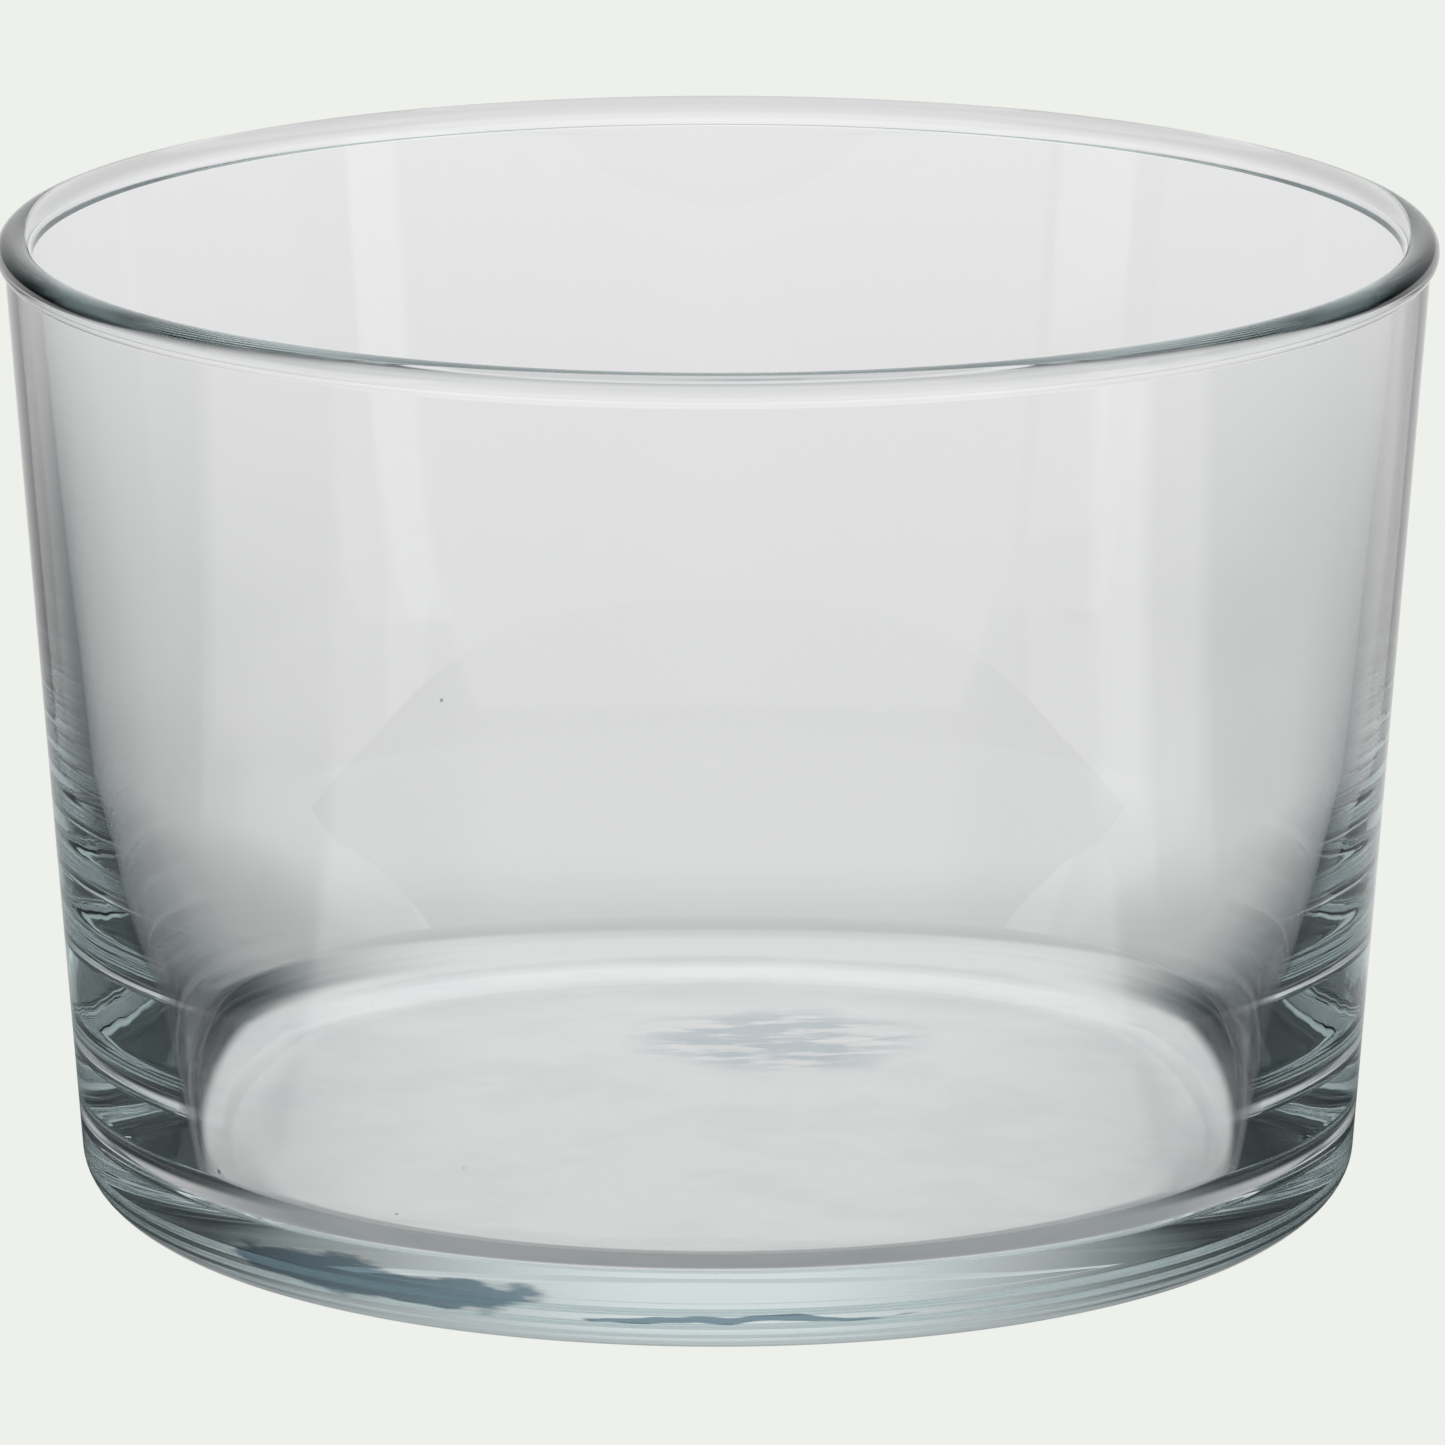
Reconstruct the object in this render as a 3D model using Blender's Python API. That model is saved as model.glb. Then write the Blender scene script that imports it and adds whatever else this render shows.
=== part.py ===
"""Crystallizing dish: one piece of clear pressed glass, turned about the Z axis.

Lengths are in metres. The origin is on the axis, in the plane that the foot rests on.
"""

import math
from itertools import pairwise

import bmesh
import bpy
from mathutils import Vector

# Overall size
RIM_DIAMETER = 0.086  # outside of the bead round the rim
HEIGHT = 0.060  # resting plane to the top of the rim
BASE_DIAMETER = 0.0760  # where the straight outer wall, carried down, meets the resting plane

# Rim
BEAD_DIAMETER = 0.0021  # thickness of the round bead that finishes the rim
NECK_ANGLE = math.radians(59)  # the outer wall starts this far round the bead below its widest point

# Wall and inside. Wall thicknesses are measured level.
WALL_THICKNESS = 0.00245  # where the inside wall bends; above the bend it thins evenly to the bead
BEND_HEIGHT = 0.024  # resting plane to that bend
BEND_REACH = 0.006  # the bend is smoothed over this much height above it and below it
LOW_WALL_THICKNESS = 0.0050  # the thickening wall below the bend, carried down to the inside floor
FLOOR_THICKNESS = 0.0048  # resting plane to the flat inside floor
FILLET_SIZE = 0.0026  # inside rounding between the floor and the wall, up the wall and in across the floor

# Heel and underside
HEEL_HEIGHT = 0.0042  # outside rounding, from the resting plane up the wall
HEEL_WIDTH = 0.0064  # the same rounding, from the wall's foot in to the flat foot ring
FOOT_WIDTH = 0.0040  # flat ring that the dish rests on
PUNT_DEPTH = 0.00015  # very shallow hollow inside the ring, at its centre

# Facets
SEGMENTS = 96  # round the axis
BEAD_STEPS = 5  # in each of the bead's three arcs
BEND_STEPS = 4
FILLET_STEPS = 8
HEEL_STEPS = 7
PUNT_STEPS = 5

MERGE_DISTANCE = 1e-6


def clear_scene():
    for item in list(bpy.data.objects):
        bpy.data.objects.remove(item)


def at_height(start, end, height):
    """The point at this height on the line through start and end."""
    return start.lerp(end, (height - start.y) / (end.y - start.y))


def conic_arc(start, corner, end, steps):
    """A quarter of an ellipse from start to end, tangent to the lines that join them to corner."""
    points = []
    for step in range(steps + 1):
        t = step / steps
        near = (1 - t) ** 2
        middle = math.sqrt(2) * t * (1 - t)
        far = t ** 2
        points.append((start * near + corner * middle + end * far) / (near + middle + far))
    return points


def circle_arc(centre, radius, first, last, steps):
    points = []
    for step in range(steps + 1):
        angle = first + (last - first) * step / steps
        points.append(centre + radius * Vector((math.cos(angle), math.sin(angle))))
    return points


def punt(edge, steps):
    """A shallow dome, from the centre of the underside out to this radius in the resting plane."""
    shares = [step / steps for step in range(steps + 1)]
    return [Vector((edge * share, PUNT_DEPTH * (1 - share ** 2))) for share in shares]


def section():
    """Half the section of the glass: radius and height, from the underside's centre round to the floor's."""
    bead_radius = BEAD_DIAMETER / 2
    bead_centre = Vector((RIM_DIAMETER / 2 - bead_radius, HEIGHT - bead_radius))

    neck = bead_centre + bead_radius * Vector((math.cos(NECK_ANGLE), -math.sin(NECK_ANGLE)))
    wall_foot = Vector((BASE_DIAMETER / 2, 0))
    heel_top = at_height(wall_foot, neck, HEEL_HEIGHT)
    foot_edge = wall_foot - Vector((HEEL_WIDTH, 0))

    bend = at_height(wall_foot, neck, BEND_HEIGHT) - Vector((WALL_THICKNESS, 0))
    floor_corner = at_height(wall_foot, neck, FLOOR_THICKNESS) - Vector((LOW_WALL_THICKNESS, 0))
    to_bead = bead_centre - bend
    inside_slope = math.atan2(to_bead.y, to_bead.x) + math.asin(bead_radius / to_bead.length)
    inside_angle = inside_slope + math.pi / 2  # where the inside wall touches the bead, tangent to it
    inside_top = bead_centre + bead_radius * Vector((math.cos(inside_angle), math.sin(inside_angle)))
    bend_top = at_height(bend, inside_top, BEND_HEIGHT + BEND_REACH)
    bend_bottom = at_height(floor_corner, bend, BEND_HEIGHT - BEND_REACH)
    fillet_top = at_height(floor_corner, bend, FLOOR_THICKNESS + FILLET_SIZE)
    floor_edge = floor_corner - Vector((FILLET_SIZE, 0))

    points = punt(foot_edge.x - FOOT_WIDTH, PUNT_STEPS)
    points += conic_arc(foot_edge, wall_foot, heel_top, HEEL_STEPS)
    for first, last in pairwise((-NECK_ANGLE, 0, math.pi / 2, inside_angle)):
        points += circle_arc(bead_centre, bead_radius, first, last, BEAD_STEPS)
    points += conic_arc(bend_top, bend, bend_bottom, BEND_STEPS)
    points += conic_arc(fillet_top, floor_corner, floor_edge, FILLET_STEPS)
    points.append(Vector((0, FLOOR_THICKNESS)))
    return points


def turned_mesh(name, points):
    """The section turned once round the Z axis, as a closed body with its faces pointing out."""
    bm = bmesh.new()
    verts = [bm.verts.new((point.x, 0, point.y)) for point in points]
    edges = [bm.edges.new(pair) for pair in pairwise(verts)]
    bmesh.ops.spin(
        bm,
        geom=verts + edges,
        cent=(0, 0, 0),
        axis=(0, 0, 1),
        angle=2 * math.pi,
        steps=SEGMENTS,
        use_merge=True,
    )
    bmesh.ops.remove_doubles(bm, verts=bm.verts, dist=MERGE_DISTANCE)
    bmesh.ops.recalc_face_normals(bm, faces=bm.faces)
    mesh = bpy.data.meshes.new(name)
    bm.to_mesh(mesh)
    bm.free()
    mesh.shade_smooth()
    mesh.set_sharp_from_angle(angle=math.radians(40))
    return mesh


def glass_material():
    material = bpy.data.materials.new("clear_glass")
    material.use_nodes = True
    shader = material.node_tree.nodes["Principled BSDF"]
    shader.inputs["Base Color"].default_value = (0.86, 0.94, 0.95, 1)
    shader.inputs["Roughness"].default_value = 0.02
    shader.inputs["Metallic"].default_value = 0.0
    shader.inputs["IOR"].default_value = 1.52
    shader.inputs["Transmission Weight"].default_value = 1.0
    return material


def add_dish():
    mesh = turned_mesh("dish", section())
    mesh.materials.append(glass_material())
    dish = bpy.data.objects.new("dish", mesh)
    bpy.context.scene.collection.objects.link(dish)
    return dish


clear_scene()
add_dish()
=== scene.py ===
"""Crystallizing dish of clear pressed glass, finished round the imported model.

Lengths are in metres. +Z is up, and the dish stands on the plane at height zero.
"""

import math
from itertools import pairwise

import bmesh
import bpy
from bpy.props import FloatProperty, FloatVectorProperty, IntProperty, PointerProperty
from mathutils import Euler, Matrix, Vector


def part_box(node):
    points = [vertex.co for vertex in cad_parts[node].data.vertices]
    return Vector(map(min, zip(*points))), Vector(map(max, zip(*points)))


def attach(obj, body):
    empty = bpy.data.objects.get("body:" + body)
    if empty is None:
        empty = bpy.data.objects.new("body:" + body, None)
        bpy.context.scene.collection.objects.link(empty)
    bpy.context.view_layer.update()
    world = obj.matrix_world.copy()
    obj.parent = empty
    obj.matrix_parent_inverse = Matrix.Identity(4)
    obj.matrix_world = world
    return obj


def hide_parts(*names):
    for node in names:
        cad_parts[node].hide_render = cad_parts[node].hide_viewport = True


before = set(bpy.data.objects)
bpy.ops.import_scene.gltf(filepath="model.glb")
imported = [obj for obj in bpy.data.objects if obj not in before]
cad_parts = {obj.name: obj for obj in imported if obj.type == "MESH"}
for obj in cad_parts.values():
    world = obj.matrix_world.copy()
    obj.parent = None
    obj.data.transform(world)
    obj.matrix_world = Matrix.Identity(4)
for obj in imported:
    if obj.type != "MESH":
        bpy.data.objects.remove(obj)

bl_info = {
    "name": "Crystallizing Dish",
    "version": (1, 0, 0),
    "blender": (4, 5, 0),
    "location": "3D View > Sidebar > Dish",
    "description": "Models a clear pressed-glass dish and the pale table that it stands on",
    "category": "Object",
}

NODE = "dish"
BODY = "root"

CAD_LOW, CAD_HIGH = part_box(NODE)
MERGE_DISTANCE = 1e-7


# Settings


class DishShape(bpy.types.PropertyGroup):
    """Sizes of the glass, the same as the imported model's."""

    rim_diameter: FloatProperty(
        name="Rim diameter",
        description="Outside of the bead round the rim",
        default=CAD_HIGH.x - CAD_LOW.x,
        unit="LENGTH",
    )
    height: FloatProperty(
        name="Height",
        description="Resting plane to the top of the rim",
        default=CAD_HIGH.z - CAD_LOW.z,
        unit="LENGTH",
    )
    base_diameter: FloatProperty(
        name="Base diameter",
        description="Where the outer wall, carried down, meets the resting plane",
        default=0.0760,
        unit="LENGTH",
    )
    bead: FloatProperty(
        name="Bead",
        description="Thickness of the round bead at the rim",
        default=0.0021,
        unit="LENGTH",
    )
    neck_angle: FloatProperty(
        name="Neck angle",
        description="How far round the bead, below its widest point, the outer wall starts",
        default=math.radians(59),
        subtype="ANGLE",
    )
    wall: FloatProperty(
        name="Wall",
        description="Level thickness of the wall where it begins to thicken towards the floor",
        default=0.00245,
        unit="LENGTH",
    )
    bend_height: FloatProperty(
        name="Bend height",
        description="Resting plane to the bend in the inside wall, below which the wall thickens",
        default=0.024,
        unit="LENGTH",
    )
    low_wall: FloatProperty(
        name="Low wall",
        description="Level thickness of the wall, carried down to the inside floor",
        default=0.0050,
        unit="LENGTH",
    )
    bend_reach: FloatProperty(
        name="Bend reach",
        description="How far the bend is smoothed above it and below it",
        default=0.006,
        unit="LENGTH",
    )
    floor: FloatProperty(
        name="Floor",
        description="Resting plane to the flat inside floor",
        default=0.0048,
        unit="LENGTH",
    )
    fillet: FloatProperty(
        name="Inside fillet",
        description="Rounding between the inside floor and wall",
        default=0.0026,
        unit="LENGTH",
    )
    heel_height: FloatProperty(
        name="Heel height",
        description="Outside rounding, up the wall",
        default=0.0042,
        unit="LENGTH",
    )
    heel_width: FloatProperty(
        name="Heel width",
        description="Outside rounding, in to the foot ring",
        default=0.0064,
        unit="LENGTH",
    )
    foot_width: FloatProperty(
        name="Foot ring",
        description="Width of the flat ring that the dish rests on",
        default=0.0040,
        unit="LENGTH",
    )
    punt: FloatProperty(
        name="Hollow",
        description="Depth of the shallow hollow under the floor",
        default=0.00015,
        unit="LENGTH",
    )
    segments: IntProperty(
        name="Segments",
        description="Steps round the axis",
        default=480,
        min=3,
    )


class GlassFinish(bpy.types.PropertyGroup):
    """Colour and surface of the glass."""

    tint: FloatVectorProperty(
        name="Tint",
        description="Colour that a thick section of the glass lets through",
        subtype="COLOR",
        size=3,
        default=(0.26, 0.54, 0.56),
    )
    absorption: FloatProperty(
        name="Absorption",
        description="How strongly thickness brings out the tint, per metre",
        default=5.0,
    )
    refraction: FloatProperty(
        name="Index of refraction",
        description="Bending of light by the glass",
        default=1.52,
    )
    ripple: FloatProperty(
        name="Ripple",
        description="Height of the faint upright ripples in the wall",
        default=0.000004,
        unit="LENGTH",
    )
    unevenness: FloatProperty(
        name="Unevenness",
        description="Height of the waves in the underside",
        default=0.000015,
        unit="LENGTH",
    )


class StageView(bpy.types.PropertyGroup):
    """Camera and backdrop."""

    elevation: FloatProperty(
        name="Elevation",
        description="How far the camera looks down",
        default=math.radians(13.153),
        subtype="ANGLE",
    )
    distance: FloatProperty(
        name="Distance",
        description="Camera to the middle of the dish",
        default=0.9286,
        unit="LENGTH",
    )
    lens: FloatProperty(
        name="Lens",
        description="Focal length, in millimetres",
        default=385.3,
    )
    backdrop: FloatVectorProperty(
        name="Backdrop",
        description="Colour of the table and of what is behind it",
        subtype="COLOR",
        size=3,
        default=(0.855, 0.871, 0.831),
    )


# Shape. Steps along each stretch of the section, from the underside's centre round to the floor's.
PUNT_STEPS = 14
FOOT_STEPS = 2
HEEL_STEPS = 20
OUTER_WALL_STEPS = 24
BEAD_STEPS = 36
INNER_WALL_STEPS = 14
BEND_STEPS = 10
LOW_WALL_STEPS = 4
FILLET_STEPS = 16
FLOOR_STEPS = 8
GUARD = 0.00008  # a row this close to each end keeps a straight stretch straight when it is shaded smooth


def at_height(start, end, height):
    """The point at this height on the line through start and end."""
    return start.lerp(end, (height - start.y) / (end.y - start.y))


def conic_arc(start, corner, end, steps):
    """A quarter of an ellipse from start to end, tangent to the lines that join them to corner."""
    points = []
    for step in range(steps + 1):
        t = step / steps
        near = (1 - t) ** 2
        middle = math.sqrt(2) * t * (1 - t)
        far = t ** 2
        points.append((start * near + corner * middle + end * far) / (near + middle + far))
    return points


def circle_arc(centre, radius, first, last, steps):
    points = []
    for step in range(steps + 1):
        angle = first + (last - first) * step / steps
        points.append(centre + radius * Vector((math.cos(angle), math.sin(angle))))
    return points


def straight(start, end, steps):
    """Points of a straight stretch, without its ends, closer at both ends."""
    length = (end - start).length
    inner = [start.lerp(end, step / steps) for step in range(1, steps)]
    return [start.lerp(end, GUARD / length)] + inner + [end.lerp(start, GUARD / length)]


def section(shape):
    """Half the section of the glass: radius and height, from the underside's centre round to the floor's."""
    bead_radius = shape.bead / 2
    bead_centre = Vector((shape.rim_diameter / 2 - bead_radius, shape.height - bead_radius))

    neck = bead_centre + bead_radius * Vector((math.cos(shape.neck_angle), -math.sin(shape.neck_angle)))
    wall_base = Vector((shape.base_diameter / 2, 0))
    heel_top = at_height(wall_base, neck, shape.heel_height)
    foot_edge = wall_base - Vector((shape.heel_width, 0))
    punt_edge = foot_edge.x - shape.foot_width

    bend = at_height(wall_base, neck, shape.bend_height) - Vector((shape.wall, 0))
    floor_corner = at_height(wall_base, neck, shape.floor) - Vector((shape.low_wall, 0))
    to_bead = bead_centre - bend
    inside_slope = math.atan2(to_bead.y, to_bead.x) + math.asin(bead_radius / to_bead.length)
    inside_angle = inside_slope + math.pi / 2
    inside_top = bead_centre + bead_radius * Vector((math.cos(inside_angle), math.sin(inside_angle)))
    bend_top = at_height(bend, inside_top, shape.bend_height + shape.bend_reach)
    bend_foot = at_height(floor_corner, bend, shape.bend_height - shape.bend_reach)
    fillet_top = at_height(floor_corner, bend, shape.floor + shape.fillet)
    floor_edge = floor_corner - Vector((shape.fillet, 0))
    centre = Vector((0, shape.floor))

    shares = [step / PUNT_STEPS for step in range(PUNT_STEPS + 1)]
    points = [Vector((punt_edge * share, shape.punt * (1 - share ** 2))) for share in shares]
    points += straight(points[-1], foot_edge, FOOT_STEPS)
    points += conic_arc(foot_edge, wall_base, heel_top, HEEL_STEPS)
    points += straight(heel_top, neck, OUTER_WALL_STEPS)
    points += circle_arc(bead_centre, bead_radius, -shape.neck_angle, inside_angle, BEAD_STEPS)
    points += straight(inside_top, bend_top, INNER_WALL_STEPS)
    points += conic_arc(bend_top, bend, bend_foot, BEND_STEPS)
    points += straight(bend_foot, fillet_top, LOW_WALL_STEPS)
    points += conic_arc(fillet_top, floor_corner, floor_edge, FILLET_STEPS)
    points += straight(floor_edge, centre, FLOOR_STEPS)
    points.append(centre)
    return points


def turned_mesh(name, points, segments):
    """The section turned once round the Z axis, as a closed body with its faces pointing out."""
    bm = bmesh.new()
    verts = [bm.verts.new((point.x, 0, point.y)) for point in points]
    edges = [bm.edges.new(pair) for pair in pairwise(verts)]
    bmesh.ops.spin(
        bm,
        geom=verts + edges,
        cent=(0, 0, 0),
        axis=(0, 0, 1),
        angle=2 * math.pi,
        steps=segments,
        use_merge=True,
    )
    bmesh.ops.remove_doubles(bm, verts=bm.verts, dist=MERGE_DISTANCE)
    bmesh.ops.recalc_face_normals(bm, faces=bm.faces)
    mesh = bpy.data.meshes.new(name)
    bm.to_mesh(mesh)
    bm.free()
    mesh.shade_smooth()
    return mesh


def place(name, mesh, material=None):
    piece = bpy.data.objects.new(name, mesh)
    bpy.context.scene.collection.objects.link(piece)
    if material:
        mesh.materials.append(material)
    return piece


# Materials


def new_material(name):
    material = bpy.data.materials.new(name)
    material.use_nodes = True
    material.node_tree.nodes.clear()
    return material


def feed(tree, socket, value):
    """Link a socket to another, or give it a plain number."""
    if isinstance(value, bpy.types.NodeSocket):
        tree.links.new(value, socket)
    else:
        socket.default_value = value


def calc(tree, operation, *values):
    node = tree.nodes.new("ShaderNodeMath")
    node.operation = operation
    for socket, value in zip(node.inputs, values):
        feed(tree, socket, value)
    return node.outputs["Value"]


def fade(tree, value, start, end):
    """0 where the value is at start or before it, 1 at end and past it, with an even curve between."""
    ramp = tree.nodes.new("ShaderNodeMapRange")
    ramp.interpolation_type = "SMOOTHSTEP"
    feed(tree, ramp.inputs["Value"], value)
    feed(tree, ramp.inputs["From Min"], start)
    feed(tree, ramp.inputs["From Max"], end)
    return ramp.outputs["Result"]


def split(tree, vector):
    node = tree.nodes.new("ShaderNodeSeparateXYZ")
    tree.links.new(vector, node.inputs["Vector"])
    return node.outputs["X"], node.outputs["Y"], node.outputs["Z"]


def millimetres(tree):
    """Object coordinates in millimetres."""
    source = tree.nodes.new("ShaderNodeTexCoord")
    scaled = tree.nodes.new("ShaderNodeVectorMath")
    scaled.operation = "SCALE"
    scaled.inputs["Scale"].default_value = 1000
    tree.links.new(source.outputs["Object"], scaled.inputs[0])
    return scaled.outputs["Vector"]


def stretched_noise(tree, vector, scale, detail=2.0, roughness=0.5):
    """Noise from 0 to 1. The scale is in waves per millimetre along each axis."""
    mapping = tree.nodes.new("ShaderNodeMapping")
    mapping.inputs["Scale"].default_value = scale
    tree.links.new(vector, mapping.inputs["Vector"])
    node = tree.nodes.new("ShaderNodeTexNoise")
    node.inputs["Scale"].default_value = 1
    node.inputs["Detail"].default_value = detail
    node.inputs["Roughness"].default_value = roughness
    tree.links.new(mapping.outputs["Vector"], node.inputs["Vector"])
    return node.outputs["Fac"]


def either_way(tree, noise, reach):
    """Noise from 0 to 1, spread to run from -reach to reach."""
    return calc(tree, "MULTIPLY_ADD", noise, 2 * reach, -reach)


def bearing_of(tree, x, y):
    """Compass bearing in degrees: 0 along +Y, 90 along +X."""
    return calc(tree, "DEGREES", calc(tree, "ARCTAN2", x, y))


def distance_from_axis(tree, x, y):
    return calc(tree, "POWER", calc(tree, "ADD", product(tree, x, x), product(tree, y, y)), 0.5)


def off_bearing(tree, bearing, middle):
    """How far a bearing is from the middle one, in degrees, either way round."""
    return calc(tree, "ABSOLUTE", calc(tree, "WRAP", calc(tree, "SUBTRACT", bearing, middle), 180, -180))


# Places of a Mix node's colour sockets, which come after the ones for its other kinds of data.
MIX_UNDER = 6
MIX_OVER = 7
MIX_RESULT = 2


def tint(tree, under, over, mask):
    """The colour under, with the colour over it where the mask is 1."""
    mix = tree.nodes.new("ShaderNodeMix")
    mix.data_type = "RGBA"
    tree.links.new(mask, mix.inputs["Factor"])
    for socket, colour in ((mix.inputs[MIX_UNDER], under), (mix.inputs[MIX_OVER], over)):
        if isinstance(colour, bpy.types.NodeSocket):
            tree.links.new(colour, socket)
        else:
            socket.default_value = (*colour, 1)
    return mix.outputs[MIX_RESULT]


def product(tree, *masks):
    result = masks[0]
    for mask in masks[1:]:
        result = calc(tree, "MULTIPLY", result, mask)
    return result


# Faults in the glass, and a painted dark reflection in the heel. Places and sizes are in millimetres, and
# bearings in degrees.
UNDERSIDE_HEIGHTS = (1.2, 0.4)  # the faces lower than these are the underside's
WALL_HEIGHTS = (7.0, 12.0)  # the faces higher than these are the wall's
DENT_RADII = (33, 26)  # the underside is uneven inside these
HEEL_RADII = (36.5, 37.2)  # the heel's outer face lies outside these
MARK_PLACE = (4, 13)  # on the underside, from its centre
MARK_REACH = (11, 9)
MARK_DRIFT = 4  # how far its outline wanders
MARK_COLOUR = (0.18, 0.29, 0.36)
# Dark patches in the heel: the first row is a painted dark reflection, the second a thin dark line.
HEEL_DARK_PATCHES = (  # middle bearing, half angle, middle height and half height of each
    (-148, 18, 3.8, 1.2),
    (179, 15, 2.9, 0.25),
)
HEEL_PATCH_RAGGEDNESS = 1.2  # 0 would leave smooth ovals
HEEL_PATCH_WAVE = 0.8  # how far they wander up and down
# colour of the painted dark reflection and of the dark line in the heel
HEEL_DARK_COLOUR = (0.09, 0.15, 0.20)
CLOUD_COLOUR = (0.82, 0.85, 0.86)
SPECK_CELLS = 0.11  # per millimetre
SPECKLESS_SHARE = 0.84  # of the cells
SPECK_SIZE = 0.012  # in cells
SPECK_COLOUR = (0.15, 0.16, 0.17)


def surface_height(tree, spot, radius, underside, wall, finish):
    """Height of the surface in metres: upright ripples in the wall, and waves in the underside."""
    ripple = stretched_noise(tree, spot, (0.30, 0.30, 0.02), detail=1.0)
    unevenness = stretched_noise(tree, spot, (0.10, 0.16, 0.10), detail=1.0)
    dent = product(tree, underside, fade(tree, radius, *DENT_RADII))
    return calc(
        tree,
        "ADD",
        product(tree, wall, ripple, finish.ripple),
        product(tree, dent, unevenness, finish.unevenness),
    )


def cloudy_mark(tree, spot, x, y, underside):
    """Mask of the brushed mark in the back of the underside."""
    drift = either_way(tree, stretched_noise(tree, spot, (0.12, 0.12, 0.1)), MARK_DRIFT)
    across = calc(tree, "DIVIDE", calc(tree, "SUBTRACT", x, MARK_PLACE[0]), MARK_REACH[0])
    back = calc(tree, "ADD", calc(tree, "SUBTRACT", y, MARK_PLACE[1]), drift)
    along = calc(tree, "DIVIDE", back, MARK_REACH[1])
    apart = calc(tree, "ADD", product(tree, across, across), product(tree, along, along))
    brushed = stretched_noise(tree, spot, (0.16, 0.50, 0.1), detail=3.0, roughness=0.6)
    return product(tree, underside, fade(tree, apart, 1.0, 0.2), fade(tree, brushed, 0.37, 0.55))


def heel_painted_reflection_and_line(tree, spot, bearing, radius, z):
    """Mask of the dark patches in the heel: a long ragged painted dark reflection, and a thin dark line."""
    ragged = stretched_noise(tree, spot, (0.14, 0.14, 0.9), detail=3.0, roughness=0.6)
    rough_edge = either_way(tree, ragged, HEEL_PATCH_RAGGEDNESS)
    wave = stretched_noise(tree, spot, (0.22, 0.22, 0.22), detail=1.0)
    wavy = calc(tree, "ADD", z, either_way(tree, wave, HEEL_PATCH_WAVE))
    dark_patches = 0.0
    for middle, half_angle, centre, half_height in HEEL_DARK_PATCHES:
        along = calc(tree, "DIVIDE", off_bearing(tree, bearing, middle), half_angle)
        up = calc(tree, "DIVIDE", calc(tree, "SUBTRACT", wavy, centre), half_height)
        apart = calc(tree, "ADD", product(tree, along, along), product(tree, up, up))
        dark_patches = calc(tree, "MAXIMUM", dark_patches, fade(tree, calc(tree, "ADD", apart, rough_edge), 1.1, 0.7))
    return product(tree, fade(tree, radius, *HEEL_RADII), dark_patches)


def scattered_specks(tree, spot):
    """Mask of the dark specks, one near the middle of some of the cells."""
    cells = tree.nodes.new("ShaderNodeTexVoronoi")
    cells.inputs["Scale"].default_value = SPECK_CELLS
    tree.links.new(spot, cells.inputs["Vector"])
    picked = calc(tree, "GREATER_THAN", split(tree, cells.outputs["Color"])[0], SPECKLESS_SHARE)
    return product(tree, picked, fade(tree, cells.outputs["Distance"], SPECK_SIZE * 1.6, SPECK_SIZE))


def glass_material(finish):
    """Clear pressed glass: rippled wall, uneven and cloudy underside, a mark, a painted dark reflection and
    a dark line in the heel, and specks.
    """
    material = new_material("clear_pressed_glass")
    tree = material.node_tree
    spot = millimetres(tree)
    x, y, z = split(tree, spot)
    bearing = bearing_of(tree, x, y)
    radius = distance_from_axis(tree, x, y)
    underside = fade(tree, z, *UNDERSIDE_HEIGHTS)
    wall = fade(tree, z, *WALL_HEIGHTS)

    bump = tree.nodes.new("ShaderNodeBump")
    bump.inputs["Distance"].default_value = 1
    tree.links.new(surface_height(tree, spot, radius, underside, wall, finish), bump.inputs["Height"])

    clouds = stretched_noise(tree, spot, (0.09, 0.14, 0.3), detail=3.0, roughness=0.6)
    cloudy = product(tree, underside, fade(tree, clouds, 0.40, 0.68))
    colour = tint(tree, (1, 1, 1), CLOUD_COLOUR, cloudy)
    colour = tint(tree, colour, MARK_COLOUR, cloudy_mark(tree, spot, x, y, underside))
    # painted dark reflection in the heel, and a thin dark line
    colour = tint(tree, colour, HEEL_DARK_COLOUR, heel_painted_reflection_and_line(tree, spot, bearing, radius, z))
    colour = tint(tree, colour, SPECK_COLOUR, scattered_specks(tree, spot))

    shader = tree.nodes.new("ShaderNodeBsdfPrincipled")
    shader.inputs["Roughness"].default_value = 0.0
    shader.inputs["Metallic"].default_value = 0.0
    shader.inputs["IOR"].default_value = finish.refraction
    shader.inputs["Transmission Weight"].default_value = 1
    tree.links.new(colour, shader.inputs["Base Color"])
    tree.links.new(bump.outputs["Normal"], shader.inputs["Normal"])
    volume = tree.nodes.new("ShaderNodeVolumeAbsorption")
    volume.inputs["Color"].default_value = (*finish.tint, 1)
    volume.inputs["Density"].default_value = finish.absorption
    out = tree.nodes.new("ShaderNodeOutputMaterial")
    tree.links.new(shader.outputs["BSDF"], out.inputs["Surface"])
    tree.links.new(volume.outputs["Volume"], out.inputs["Volume"])
    return material


# Operators


class DISH_OT_glass(bpy.types.Operator):
    """Model the glass body of the dish"""

    bl_idname = "dish.add_glass"
    bl_label = "Add Glass"

    def execute(self, context):
        shape = context.scene.dish_shape
        mesh = turned_mesh("glass_dish", section(shape), shape.segments)
        piece = place("glass_dish", mesh, glass_material(context.scene.dish_finish))
        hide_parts(NODE)
        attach(piece, BODY)
        return {"FINISHED"}


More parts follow.
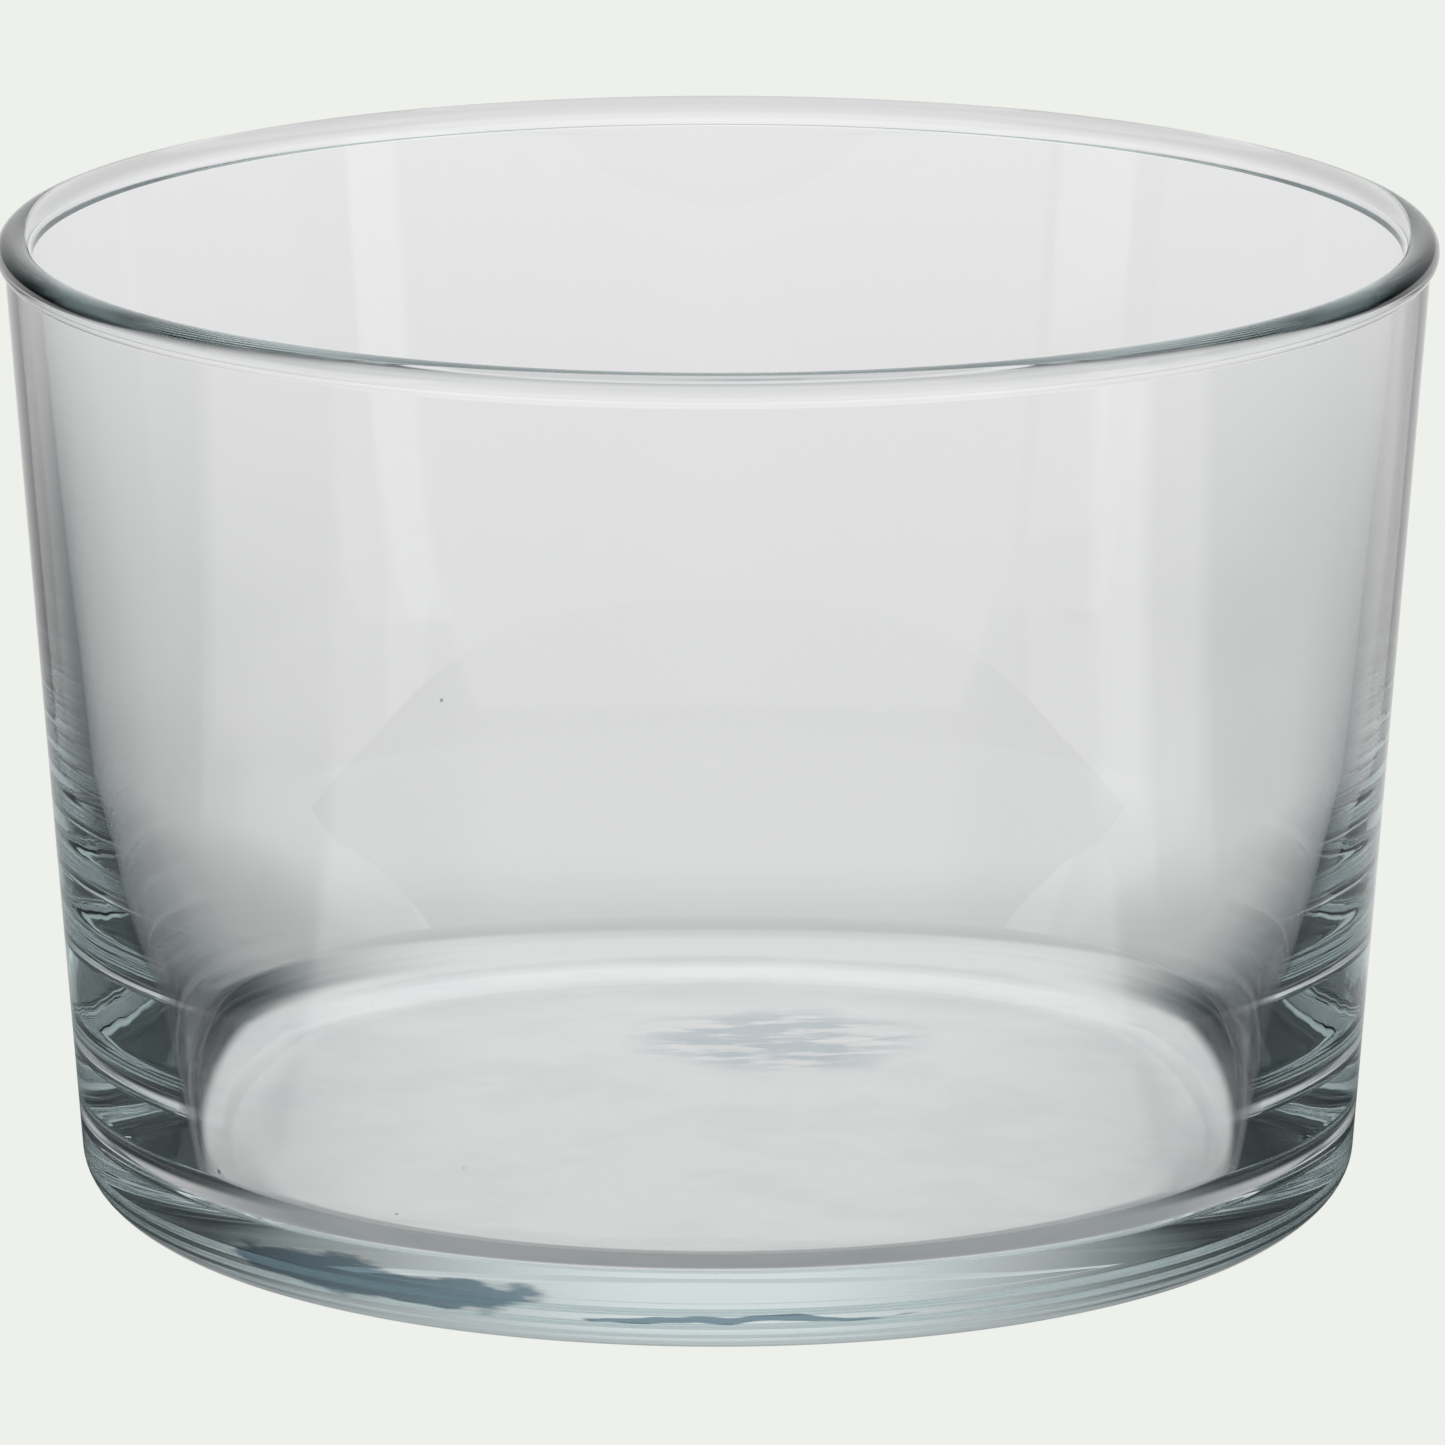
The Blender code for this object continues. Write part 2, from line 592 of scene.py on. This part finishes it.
# Studio. Directions are compass bearings round the dish, in degrees: 0 is straight behind, 90 to the right.
# Each row is a soft-edged patch: bearing, half width, softness of its sides, low and high edge,
# softness of the low and the high edge, brightness. A later row lies over the ones before it.
# The room's low and high edges are elevations in degrees, and the table's are distances in millimetres.
ROOM_HEIGHTS = (0, 30, 60, 90)  # elevations
ROOM_BRIGHTNESS = (0.28, 0.41, 0.75, 0.76)  # of the plain room, at those elevations
ROOM_PATCHES = {
    "backdrop": (0, 16, 27, -10, 47, 1, 24, 0.88),
    "room_behind": (180, 62, 30, -10, 57, 1, 30, 0.62),
    "softbox_left": (-110, 8, 2, 32, 60, 10, 10, 0.80),
    "softbox_right": (118, 10, 2, 32, 62, 10, 10, 0.85),
    "flag_left": (-80, 48, 20, -10, 38, 1, 14, 0.04),
    "flag_right": (82, 46, 20, -10, 36, 1, 16, 0.05),
}
TABLE_RADIUS = 6.0
TABLE_SEGMENTS = 96
TABLE_GAP = 0.0001  # the table stays this far below the foot, so that the two faces never coincide
TABLE_BRIGHTNESS = 0.83
# The table's patches are painted light and shade, seen only in the glass: the dish's painted shadow under
# it, behind it and in rings round its foot, painted shade at the sides, and painted light in front and from
# the softboxes.
TABLE_PATCHES = {
    "shade_behind_dish": (0, 70, 60, 33, 260, 3, 320, 0.70),
    "far_shade_left": (-80, 44, 48, 90, 220, 50, 140, 0.14),
    "far_shade_right": (88, 40, 44, 90, 220, 50, 140, 0.18),
    "near_shade_left": (-83, 42, 40, 38, 105, 4, 50, 0.05),
    "near_shade_right": (88, 36, 40, 38, 95, 4, 40, 0.04),
    "front": (180, 60, 3, 60, 9000, 20, 1, 0.95),
    "front_left": (-107.5, 12.5, 2, 115, 9000, 12, 1, 0.68),
    "front_right": (106, 6, 2, 105, 9000, 12, 1, 0.75),
    "glow_right": (117, 5, 2, 105, 9000, 12, 1, 1.45),
    "glow_left": (-110, 8, 2, 400, 9000, 60, 1, 1.20),
    "shade_under_dish": (0, 360, 1, -10, 29, 1, 3, 0.62),
    "shadow_ring_back": (0, 70, 60, 45, 56, 3, 40, 0.46),
    "shadow_ring_front": (180, 70, 50, 29, 52, 2, 14, 0.30),
    "shadow_ring_left": (-90, 34, 30, 36, 60, 3, 10, 0.04),
    "shadow_ring_right": (90, 34, 30, 36, 60, 3, 10, 0.04),
}
PATCH_INPUTS = ("Bearing", "Half Width", "Side Softness", "Low", "High", "Low Softness", "High Softness")
SHADE_COLOUR = (0.87, 1.0, 1.02)  # of the darkest parts; the bright parts are white
SHADE_LEVELS = (0.05, 0.5)  # darkest and brightest level over which that colour fades out


def mix_levels(tree, mask, under, over):
    """The level under where the mask is 0, and the level over where it is 1."""
    mix = tree.nodes.new("ShaderNodeMix")
    feed(tree, mix.inputs["Factor"], mask)
    feed(tree, mix.inputs["A"], under)
    feed(tree, mix.inputs["B"], over)
    return mix.outputs["Result"]


def soft_patch_group():
    """A node group: 1 inside a patch of bearings and heights, fading to 0 over its soft edges."""
    group = bpy.data.node_groups.new("soft_patch", "ShaderNodeTree")
    group.interface.new_socket("Direction", in_out="INPUT", socket_type="NodeSocketVector")
    for name in ("Height", *PATCH_INPUTS):
        group.interface.new_socket(name, in_out="INPUT", socket_type="NodeSocketFloat")
    group.interface.new_socket("Mask", in_out="OUTPUT", socket_type="NodeSocketFloat")
    given = group.nodes.new("NodeGroupInput").outputs
    result = group.nodes.new("NodeGroupOutput").inputs["Mask"]

    def edge(value, middle, softness, rising):
        """0 to 1 as the value passes the middle, or 1 to 0 where it isn't rising."""
        half = calc(group, "MULTIPLY", softness, 0.5 if rising else -0.5)
        return fade(group, value, calc(group, "SUBTRACT", middle, half), calc(group, "ADD", middle, half))

    x, y, z = split(group, given["Direction"])
    off = off_bearing(group, bearing_of(group, x, y), given["Bearing"])
    sides = edge(off, given["Half Width"], given["Side Softness"], False)
    bottom = edge(given["Height"], given["Low"], given["Low Softness"], True)
    top = edge(given["Height"], given["High"], given["High Softness"], False)
    group.links.new(product(group, sides, bottom, top), result)
    return group


def lay_patches(tree, patches, direction, height, level):
    """Lay soft patches over a level, each by the soft_patch group."""
    group = bpy.data.node_groups.get("soft_patch") or soft_patch_group()
    for label, (*edges, bright) in patches.items():
        patch = tree.nodes.new("ShaderNodeGroup")
        patch.node_tree = group
        patch.label = label
        tree.links.new(direction, patch.inputs["Direction"])
        tree.links.new(height, patch.inputs["Height"])
        for name, value in zip(PATCH_INPUTS, edges):
            patch.inputs[name].default_value = value
        level = mix_levels(tree, patch.outputs["Mask"], level, bright)
    return level


def two_views(tree, kind, level, backdrop, socket):
    """Glow at this level for every ray but the camera's own, which see the plain backdrop."""
    glow = tree.nodes.new(kind)
    colour = tint(tree, SHADE_COLOUR, (1, 1, 1), fade(tree, level, *SHADE_LEVELS))
    tree.links.new(colour, glow.inputs["Color"])
    feed(tree, glow.inputs["Strength"], level)
    plain = tree.nodes.new(kind)
    plain.inputs["Color"].default_value = (*backdrop, 1)
    path = tree.nodes.new("ShaderNodeLightPath")
    mix = tree.nodes.new("ShaderNodeMixShader")
    tree.links.new(path.outputs["Is Camera Ray"], mix.inputs["Fac"])
    tree.links.new(glow.outputs[0], mix.inputs[1])
    tree.links.new(plain.outputs[0], mix.inputs[2])
    tree.links.new(mix.outputs["Shader"], socket)


def add_table(backdrop):
    bm = bmesh.new()
    bmesh.ops.create_circle(bm, cap_ends=True, segments=TABLE_SEGMENTS, radius=TABLE_RADIUS)
    bmesh.ops.translate(bm, verts=bm.verts, vec=(0, 0, -TABLE_GAP))
    mesh = bpy.data.meshes.new("table")
    bm.to_mesh(mesh)
    bm.free()
    material = new_material("pale_table")
    tree = material.node_tree
    spot = millimetres(tree)
    x, y, z = split(tree, spot)
    # the table glows with the painted light and shade of its patches
    level = lay_patches(tree, TABLE_PATCHES, spot, distance_from_axis(tree, x, y), TABLE_BRIGHTNESS)
    out = tree.nodes.new("ShaderNodeOutputMaterial")
    two_views(tree, "ShaderNodeEmission", level, backdrop, out.inputs["Surface"])
    place("table", mesh, material)


def set_world(backdrop):
    world = bpy.data.worlds.new("studio")
    world.use_nodes = True
    tree = world.node_tree
    tree.nodes.clear()
    direction = tree.nodes.new("ShaderNodeTexCoord")
    unit = tree.nodes.new("ShaderNodeVectorMath")
    unit.operation = "NORMALIZE"
    tree.links.new(direction.outputs["Generated"], unit.inputs[0])
    x, y, z = split(tree, unit.outputs["Vector"])
    height = calc(tree, "DEGREES", calc(tree, "ARCSINE", z))
    level = ROOM_BRIGHTNESS[0]
    for (low, high), bright in zip(pairwise(ROOM_HEIGHTS), ROOM_BRIGHTNESS[1:]):
        step = tree.nodes.new("ShaderNodeMapRange")
        step.inputs["From Min"].default_value = low
        step.inputs["From Max"].default_value = high
        tree.links.new(height, step.inputs["Value"])
        level = mix_levels(tree, step.outputs["Result"], level, bright)
    level = lay_patches(tree, ROOM_PATCHES, unit.outputs["Vector"], height, level)
    out = tree.nodes.new("ShaderNodeOutputWorld")
    two_views(tree, "ShaderNodeBackground", level, backdrop, out.inputs["Surface"])
    bpy.context.scene.world = world


AIM = Vector((0.00028, 0, 0.02975))  # the point that the middle of the view shows
CLIP_END = 20
LIGHT_BOUNCES = 32  # light crosses the thick heel many times


def add_camera(view):
    data = bpy.data.cameras.new("camera")
    data.lens = view.lens
    data.clip_end = CLIP_END
    camera = bpy.data.objects.new("camera", data)
    bpy.context.scene.collection.objects.link(camera)
    back = Vector((0, -math.cos(view.elevation), math.sin(view.elevation)))
    camera.location = AIM + view.distance * back
    camera.rotation_euler = Euler((math.pi / 2 - view.elevation, 0, 0))
    bpy.context.scene.camera = camera


class DISH_OT_stage(bpy.types.Operator):
    """Set up the table, the room's light and the camera"""

    bl_idname = "dish.add_stage"
    bl_label = "Add Stage"

    def execute(self, context):
        view = context.scene.dish_view
        add_camera(view)
        add_table(view.backdrop)
        set_world(view.backdrop)
        scene = context.scene
        scene.view_settings.view_transform = "Standard"
        scene.cycles.max_bounces = LIGHT_BOUNCES
        scene.cycles.transmission_bounces = LIGHT_BOUNCES
        scene.cycles.glossy_bounces = LIGHT_BOUNCES
        scene.cycles.blur_glossy = 0
        return {"FINISHED"}


class DISH_PT_panel(bpy.types.Panel):
    """Buttons for the pieces of the scene"""

    bl_idname = "DISH_PT_panel"
    bl_label = "Crystallizing Dish"
    bl_space_type = "VIEW_3D"
    bl_region_type = "UI"
    bl_category = "Dish"

    def draw(self, context):
        for settings in (context.scene.dish_shape, context.scene.dish_finish, context.scene.dish_view):
            column = self.layout.column(align=True)
            for name in settings.bl_rna.properties.keys():
                if name not in ("rna_type", "name"):
                    column.prop(settings, name)
        self.layout.operator(DISH_OT_glass.bl_idname)
        self.layout.operator(DISH_OT_stage.bl_idname)


CLASSES = (DishShape, GlassFinish, StageView, DISH_OT_glass, DISH_OT_stage, DISH_PT_panel)


def register():
    for item in CLASSES:
        bpy.utils.register_class(item)
    bpy.types.Scene.dish_shape = PointerProperty(type=DishShape)
    bpy.types.Scene.dish_finish = PointerProperty(type=GlassFinish)
    bpy.types.Scene.dish_view = PointerProperty(type=StageView)


def unregister():
    del bpy.types.Scene.dish_view
    del bpy.types.Scene.dish_finish
    del bpy.types.Scene.dish_shape
    for item in reversed(CLASSES):
        bpy.utils.unregister_class(item)


def main():
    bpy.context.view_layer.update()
    register()
    bpy.ops.dish.add_glass()
    bpy.ops.dish.add_stage()


if __name__ == "__main__":
    main()
